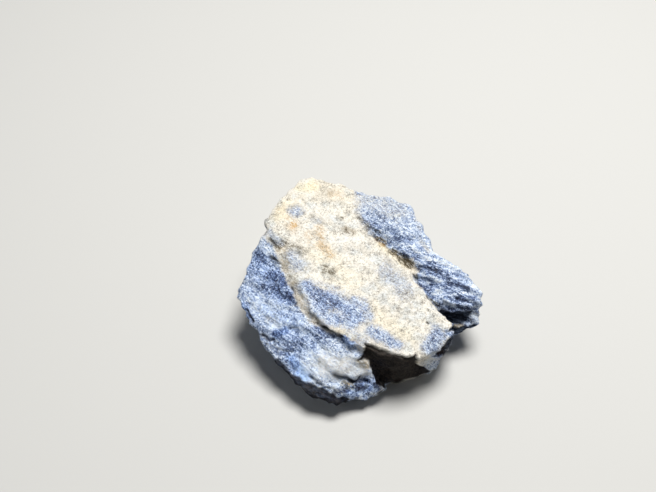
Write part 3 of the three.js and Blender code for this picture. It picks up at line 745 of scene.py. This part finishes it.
def dark_recesses(at):
    """Depth of the dark recesses, and the share of each point that lies in one and gets painted shade."""
    p = at.points
    seen = np.stack([p[:, 0], TILT_SINE * p[:, 1] + TILT_COSINE * p[:, 2]], axis=1)
    for axis, salt in ((0, 17), (1, 15)):
        seen[:, axis] += 0.24 * mottle(p, 1.1, salt) + 0.12 * mottle(p, 0.6, salt + 1)
    depth = np.zeros(len(p))
    recess_shade = np.zeros(len(p))
    for outline, deepest in RECESSES.values():
        # Only faces turned to the camera get a recess's painted shade.
        share = smooth_step(-0.12, 0.22, within(seen, outline)) * at.in_view
        depth += deepest * share
        recess_shade = np.maximum(recess_shade, share)
    return depth, recess_shade


def colour_fields(at, blue, bands):
    """The values that the material reads for its colour marks."""
    p = at.points
    torn = at.warp + 0.6 * at.fine_warp
    fields = {name: marks(p, torn, kinds) for name, kinds in RAGGED_MARKS.items()}
    navy = marks(p, 0.7 * at.warp + 0.7 * at.fine_warp, NAVY)
    crumbs = 2.0 * at.foot * smooth_step(0.1, 0.5, mottle(p, 0.7, 73))
    light = np.maximum(marks(p, at.warp, LIGHT_BLUE), crumbs)
    fields["blue"] = blue
    fields["navy"] = np.maximum(navy, 0.8 * at.hidden * smooth_step(0.02, 0.34, bands))
    fields["light"] = np.maximum(light, 1.3 * at.hidden * smooth_step(0.02, 0.34, -bands))
    fields["saturated"] = marks(p, at.warp, SATURATED)
    # The cold field picks navy over brown for the recesses' painted shade.
    cold = smooth_step(11.8, 12.8, p[:, 0] + 0.2 * p[:, 1])
    fields["cold"] = np.maximum(cold, 0.4 * smooth_step(-1.0, -2.0, p[:, 0]))
    fields["streaky"] = at.ridge
    return fields


def build_stone():
    """The stone's one mesh, with the values that its material reads."""
    piece = fine_mesh(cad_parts["stone"])
    surface = Surface(piece.data)
    flat = surface.points[:, 2] < FLAT_FACE_HEIGHT
    rest_face = surface.points[flat]
    surface.smooth(SMOOTHING_PASSES)
    surface.points[flat] = rest_face
    for middle, half_sizes, shift in SWELLINGS:
        surface.swell(middle, half_sizes, shift)

    at = Places(surface.points, surface.facing())
    p = at.points
    blue, pale = blue_and_pale(at)
    crack_depth, crack = cracks_and_pits(at)
    bands, seams, creases = layer_lines(at, blue)
    recess_depth, recess_shade = dark_recesses(at)
    height = broken_faces(at, blue, pale)
    height -= crack_depth + 0.22 * seams + 0.14 * creases + recess_depth

    # Broad rises and dips are mostly taken back, so that the stone keeps its CAD shape.
    settle = smooth_step(0.0, FADING_HEIGHT, p[:, 2])
    worn = marks(p, at.warp, WORN)
    height *= settle * (1.0 - worn)
    height -= surface.blurred(height, LEVELLING_PASSES) * 0.6
    height = surface.blurred(height, 1)

    # The CAD's edges and grooves are made crisper, but less so on the clay strip and the worn rims.
    crisp = ((p - surface.blurred(p, CRISPNESS_PASSES)) * at.facing).sum(axis=1)
    crisp = 0.7 * np.clip(crisp, -0.5, 0.5)
    on_strip = marks(p, at.warp, [(STRIP, 1.8, 1.0)])
    height += settle * crisp * (1.0 - 0.7 * on_strip) * (1.0 - 0.8 * worn)

    points = p + at.facing * height[:, None]
    points[flat, 2] = 0.0
    low, high = np.array(cad_low) / MM, np.array(cad_high) / MM
    points = np.clip(points, low - SIDE_MARGIN, high + SIDE_MARGIN)
    points[:, 2] = np.clip(points[:, 2], 0.0, high[2] + TOP_MARGIN)

    fields = colour_fields(at, blue, bands)
    # Painted shade on the relief's low spots (hollow) and a painted highlight on its high spots (crest).
    relief = height - surface.blurred(height, RELIEF_PASSES)
    in_shade = smooth_step(-0.05, -0.22, relief)
    fields["hollow"] = in_shade * (1.0 - 0.5 * np.clip(fields["light"], 0.0, 1.0))
    fields["crest"] = smooth_step(0.05, 0.2, relief)
    # The crack field paints cracks, the foot's pits, seams and creases near black: painted shade in
    # grooves.
    fields["crack"] = np.maximum(crack, 0.55 * np.maximum(seams, creases))
    fields["recess_shade"] = recess_shade

    mesh = piece.data
    mesh.vertices.foreach_set("co", (points * MM).ravel())
    for name, values in fields.items():
        layer = mesh.attributes.new(name, "FLOAT", "POINT")
        layer.data.foreach_set("value", values.astype(np.float32))
    mesh.polygons.foreach_set("use_smooth", np.ones(len(mesh.polygons), bool))
    mesh.update()
    return piece


class Nodes:
    """Short ways to add shader nodes."""

    def __init__(self, name):
        self.material = bpy.data.materials.new(name)
        self.material.use_nodes = True
        self.tree = self.material.node_tree
        self.shader = self.tree.nodes["Principled BSDF"]

    def add(self, kind, settings=(), inputs=()):
        node = self.tree.nodes.new(kind)
        for key, value in dict(settings).items():
            setattr(node, key, value)
        for key, value in dict(inputs).items():
            self.set(node.inputs[key], value)
        return node

    def set(self, socket, value):
        if isinstance(value, bpy.types.NodeSocket):
            self.tree.links.new(value, socket)
        else:
            socket.default_value = value

    def field(self, name):
        return self.add("ShaderNodeAttribute", {"attribute_name": name}).outputs["Fac"]

    def calculate(self, kind, a, b, clamp=False):
        node = self.add("ShaderNodeMath", {"operation": kind, "use_clamp": clamp}, {0: a, 1: b})
        return node.outputs[0]

    def times(self, a, b, clamp=False):
        return self.calculate("MULTIPLY", a, b, clamp)

    def blend(self, *parts):
        """A weighted sum of values."""
        total = 0.0
        for value, weight in parts:
            total = self.calculate("ADD", total, self.times(value, weight))
        return total

    def vary(self, base, *parts):
        """A base value moved up and down by parts that lie around a half."""
        total = base
        for value, weight in parts:
            total = self.calculate("ADD", total, self.times(self.calculate("SUBTRACT", value, 0.5), weight))
        return total

    def fade(self, share, a, b):
        """The value a where the share is 0 and b where it is 1."""
        return self.calculate("ADD", a, self.times(share, self.calculate("SUBTRACT", b, a)))

    def stretched(self, at, turn, length):
        """Places along a turned axis in which everything is drawn out that many times longer."""
        inputs = {"Vector": at, "Rotation": turn, "Scale": (length, 1.0, 1.0)}
        return self.add("ShaderNodeMapping", {"vector_type": "TEXTURE"}, inputs).outputs[0]

    def noise(self, at, scale, detail, roughness):
        inputs = {"Vector": at, "Scale": scale, "Detail": detail, "Roughness": roughness}
        return self.add("ShaderNodeTexNoise", {}, inputs).outputs[0]

    def facets(self, at, scale):
        """Flat tilted faces, one for each cell: their height and two random values for each face."""
        cells = self.add("ShaderNodeTexVoronoi", {}, {"Vector": at, "Scale": scale})
        corner = {0: at, 1: cells.outputs["Position"]}
        away = self.add("ShaderNodeVectorMath", {"operation": "SUBTRACT"}, corner)
        middle = {0: cells.outputs["Color"], 1: (0.5, 0.5, 0.5)}
        lean = self.add("ShaderNodeVectorMath", {"operation": "SUBTRACT"}, middle)
        product = {0: away.outputs[0], 1: lean.outputs[0]}
        height = self.add("ShaderNodeVectorMath", {"operation": "DOT_PRODUCT"}, product)
        parts = self.add("ShaderNodeSeparateColor", {}, {"Color": cells.outputs["Color"]})
        tone, pick = parts.outputs[0], parts.outputs[2]
        return SimpleNamespace(tilt=height.outputs["Value"], tone=tone, pick=pick)

    def between(self, value, low, high, to_low=0.0, to_high=1.0):
        settings = {"interpolation_type": "SMOOTHSTEP"}
        inputs = {"Value": value, "From Min": low, "From Max": high, "To Min": to_low, "To Max": to_high}
        return self.add("ShaderNodeMapRange", settings, inputs).outputs[0]

    def mix(self, share, a, b, blend="MIX"):
        node = self.add("ShaderNodeMix", {"data_type": "RGBA", "blend_type": blend})
        self.set(node.inputs["Factor"], share)
        self.set(node.inputs[6], a)
        self.set(node.inputs[7], b)
        return node.outputs[2]

    def covered(self, share, colour, plain):
        """A colour covered by a plain one where the share is 1."""
        return self.mix(share, colour, (*plain, 1.0))

    def tinted(self, share, colour, tint):
        """A colour multiplied by a tint where the share is 1."""
        return self.mix(share, colour, (*tint, 1.0), "MULTIPLY")

    def ramp(self, value, stops):
        node = self.add("ShaderNodeValToRGB", {}, {"Fac": value})
        band = node.color_ramp
        while len(band.elements) < len(stops):
            band.elements.new(0.5)
        for element, (place, colour) in zip(band.elements, stops):
            element.position = place
            element.color = (*colour, 1.0)
        return node.outputs[0]


def rock_patterns(n):
    """The noises and small broken faces that the stone's colours, gloss and bump share."""
    place = n.add("ShaderNodeTexCoord").outputs["Object"]
    at = n.add("ShaderNodeVectorMath", {"operation": "SCALE"}, {0: place, "Scale": 1.0 / MM}).outputs[0]
    along = n.stretched(at, (0.4, 0.22, -0.70), 3.6)
    crossed = n.stretched(at, (0.3, 0.10, 0.60), 2.6)
    ridge_way = n.stretched(at, (0.4, 0.16, -0.29), 4.0)
    return SimpleNamespace(
        at=at,
        lump=n.noise(at, 0.5, 2.0, 0.5),
        speckle=n.noise(at, 0.55, 6.0, 0.9),
        dust=n.noise(at, 1.8, 4.0, 0.95),
        fine=n.noise(at, 3.4, 2.0, 0.8),
        fibre=n.noise(along, 2.4, 3.0, 0.85),
        cross_fibre=n.noise(crossed, 2.6, 3.0, 0.85),
        strand=n.noise(ridge_way, 1.1, 4.0, 0.8),
        grain=n.facets(at, 3.1),
        crumb=n.facets(at, 4.9),
        flake=n.facets(along, 3.8),
        sliver=n.facets(ridge_way, 2.6),
    )


def quartz_colour(n, rock):
    """Quartz: cream and grey-white grains with greyer clots."""
    grey, cream = n.field("grey"), n.field("cream")
    clots = n.between(n.noise(rock.at, 0.9, 3.0, 0.7), 0.50, 0.66)
    tone = n.vary(
        n.blend((grey, -0.08), (n.field("light"), 0.16), (cream, 0.08), (1.0, 0.48)),
        (rock.speckle, 2.4), (clots, -0.20), (rock.fine, 1.3),
        (rock.grain.tone, 0.22), (rock.crumb.tone, 0.42),
    )
    cool = n.between(n.calculate("ADD", rock.lump, n.times(grey, 0.20)), 0.48, 0.74)
    colour = n.tinted(cool, n.ramp(tone, QUARTZ_TONES), COOL_QUARTZ_TINT)
    return n.tinted(cream, colour, CREAM_QUARTZ_TINT)


def blue_colour(n, rock):
    """Dumortierite: slivers from navy to a whitish blue, with glints, and longer strands on the ridge."""
    streaky = n.field("streaky")
    swirl = n.between(n.noise(rock.at, 0.45, 1.0, 0.5), 0.44, 0.56)
    weave = n.fade(swirl, rock.fibre, rock.cross_fibre)
    silky = n.between(n.noise(rock.at, 0.62, 2.0, 0.5), 0.40, 0.60, 0.55, 1.10)
    scatter = n.times(silky, n.vary(0.0, (weave, 1.8), (rock.dust, 0.5), (rock.flake.tone, 0.36)))
    strands = n.vary(-0.04, (rock.strand, 2.8), (rock.fine, 0.3), (rock.sliver.tone, 0.28))
    # Glints are 0 on a tenth of the crumbs, 2 on another tenth and 1 on the rest.
    pick = rock.crumb.pick
    glints = n.calculate("ADD", n.between(pick, 0.86, 0.94), n.between(pick, 0.06, 0.14))
    slivers = n.fade(streaky, scatter, strands)
    speckled = n.blend((streaky, -0.3), (1.0, 1.2))
    tone = n.vary(
        n.blend((slivers, 1.0), (n.field("navy"), -0.34), (n.field("light"), 0.19), (1.0, 0.45)),
        (rock.fine, speckled), (rock.crumb.tone, 0.32), (glints, 0.22),
    )
    return n.tinted(n.field("saturated"), n.ramp(tone, BLUE_TONES), DEEP_BLUE_TINT)


def stained(n, rock, colour):
    """Clay and iron stains, which run in fine lines."""
    lines = n.vary(0.5, (rock.fibre, 2.2), (rock.strand, 0.8), (rock.fine, 0.8))
    lines = n.between(lines, 0.32, 0.72, 1.0, 0.15)
    for name, tint, most in STAINS:
        colour = n.tinted(n.times(n.times(n.field(name), lines), most, True), colour, tint)
    return colour


def painted_shade_and_highlight(n, rock, colour):
    """Painted shade in hollows, cracks and the streaked recess floors, and painted highlights on crests."""
    # Painted shade in the relief's hollows.
    hollow = n.times(n.field("hollow"), n.blend((n.field("streaky"), 0.15), (1.0, 0.40)))
    colour = n.tinted(hollow, colour, HOLLOW_SHADE_TINT)
    # Painted highlight on the relief's crests.
    colour = n.covered(n.times(n.field("crest"), 0.08), colour, CREST_HIGHLIGHT)
    # Cracks painted near black, as painted shade.
    colour = n.covered(n.times(n.field("crack"), 0.9), colour, CRACK_SHADE)
    # The recess floors are painted in near-black brown or navy streaks, as painted shade.
    brown = n.ramp(n.between(rock.fibre, 0.42, 0.60), BROWN_RECESS)
    navy = n.ramp(n.between(rock.strand, 0.44, 0.66), NAVY_RECESS)
    return n.mix(n.times(n.field("recess_shade"), 0.97), colour, n.mix(n.field("cold"), brown, navy))


def set_gloss(n, rock):
    """Coarse gloss that differs from grain to grain. Cracks and recesses are dull."""
    recess_shade = n.field("recess_shade")
    picks = n.blend((rock.grain.pick, 0.5), (rock.crumb.pick, 0.5))
    roughness = n.between(picks, 0.2, 0.9, 0.85, 0.40)
    roughness = n.calculate("ADD", roughness, n.times(recess_shade, 0.5), True)
    n.set(n.shader.inputs["Roughness"], roughness)
    dull = n.calculate("MAXIMUM", recess_shade, n.field("crack"))
    n.set(n.shader.inputs["Specular IOR Level"], n.calculate("SUBTRACT", 0.4, n.times(dull, 0.34), True))


def set_bump(n, rock, cover):
    """Relief too fine for the mesh: grains in the quartz, flakes and slivers in the blue rock."""
    grains = n.blend((rock.grain.tilt, 0.45), (rock.crumb.tilt, 0.45), (rock.speckle, 0.20))
    flakes = n.blend((rock.flake.tilt, 0.70), (rock.crumb.tilt, 0.20), (rock.fibre, 0.45))
    slivers = n.blend((rock.sliver.tilt, 0.55), (rock.crumb.tilt, 0.25), (rock.strand, 0.60))
    height = n.fade(cover, grains, n.fade(n.field("streaky"), flakes, slivers))
    bump = n.add("ShaderNodeBump", {}, {"Strength": 1.0, "Distance": 1.0 * MM, "Height": height})
    n.set(n.shader.inputs["Normal"], bump.outputs[0])


def stone_material():
    n = Nodes("dumortierite_in_quartz")
    rock = rock_patterns(n)
    picks = n.vary(n.field("blue"), (rock.grain.pick, -0.14), (rock.crumb.pick, -0.16))
    cover = n.between(n.vary(picks, (rock.speckle, 1.4), (rock.fine, 0.4)), 0.02, 0.98)
    colour = n.mix(cover, quartz_colour(n, rock), blue_colour(n, rock))
    colour = painted_shade_and_highlight(n, rock, stained(n, rock, colour))
    n.set(n.shader.inputs["Base Color"], colour)
    set_gloss(n, rock)
    set_bump(n, rock, cover)
    return n.material


def plain_material(name, colour, roughness):
    material = bpy.data.materials.new(name)
    material.use_nodes = True
    shader = material.node_tree.nodes["Principled BSDF"]
    shader.inputs["Base Color"].default_value = (*colour, 1.0)
    shader.inputs["Roughness"].default_value = roughness
    return material


def area_light(name, place, size, power, colour):
    """A round lamp that is aimed at the middle of the stone."""
    light = bpy.data.lights.new(name, "AREA")
    light.shape = "DISK"
    light.size = size
    light.energy = power
    light.color = colour
    lamp = bpy.data.objects.new(name, light)
    lamp.location = place
    ray = Vector(STONE_MIDDLE) - Vector(place)
    lamp.rotation_euler = ray.to_track_quat("-Z", "Y").to_euler()
    bpy.context.scene.collection.objects.link(lamp)


def studio():
    """The floor, two lamps, a dim sky and the camera at the photograph's angle."""
    bpy.ops.mesh.primitive_plane_add(size=FLOOR_SIZE)
    floor = bpy.context.object
    floor.name = "floor"
    floor.data.materials.append(plain_material("pale_floor", FLOOR_COLOUR, roughness=0.9))

    area_light("key", place=(0.07, 0.085, 0.42), size=0.20, power=2.9, colour=KEY_COLOUR)
    area_light("fill", place=(-0.30, -0.25, 0.30), size=0.30, power=0.06, colour=FILL_COLOUR)

    world = bpy.data.worlds.new("soft_room")
    bpy.context.scene.world = world
    world.use_nodes = True
    background = world.node_tree.nodes["Background"]
    background.inputs["Color"].default_value = (*SKY_COLOUR, 1.0)
    background.inputs["Strength"].default_value = SKY_STRENGTH

    camera = bpy.data.cameras.new("camera")
    camera.lens = CAMERA_LENS
    camera.sensor_width = 36.0
    camera.clip_start = 0.01
    view = bpy.data.objects.new("camera", camera)
    view.location = CAMERA_PLACE
    view.rotation_euler = (math.radians(90.0 - CAMERA_TILT), 0.0, 0.0)
    bpy.context.scene.collection.objects.link(view)
    bpy.context.scene.camera = view
    bpy.context.scene.view_settings.view_transform = "Standard"


stone = build_stone()
stone.data.materials.append(stone_material())
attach(stone, "root")
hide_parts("stone")
studio()
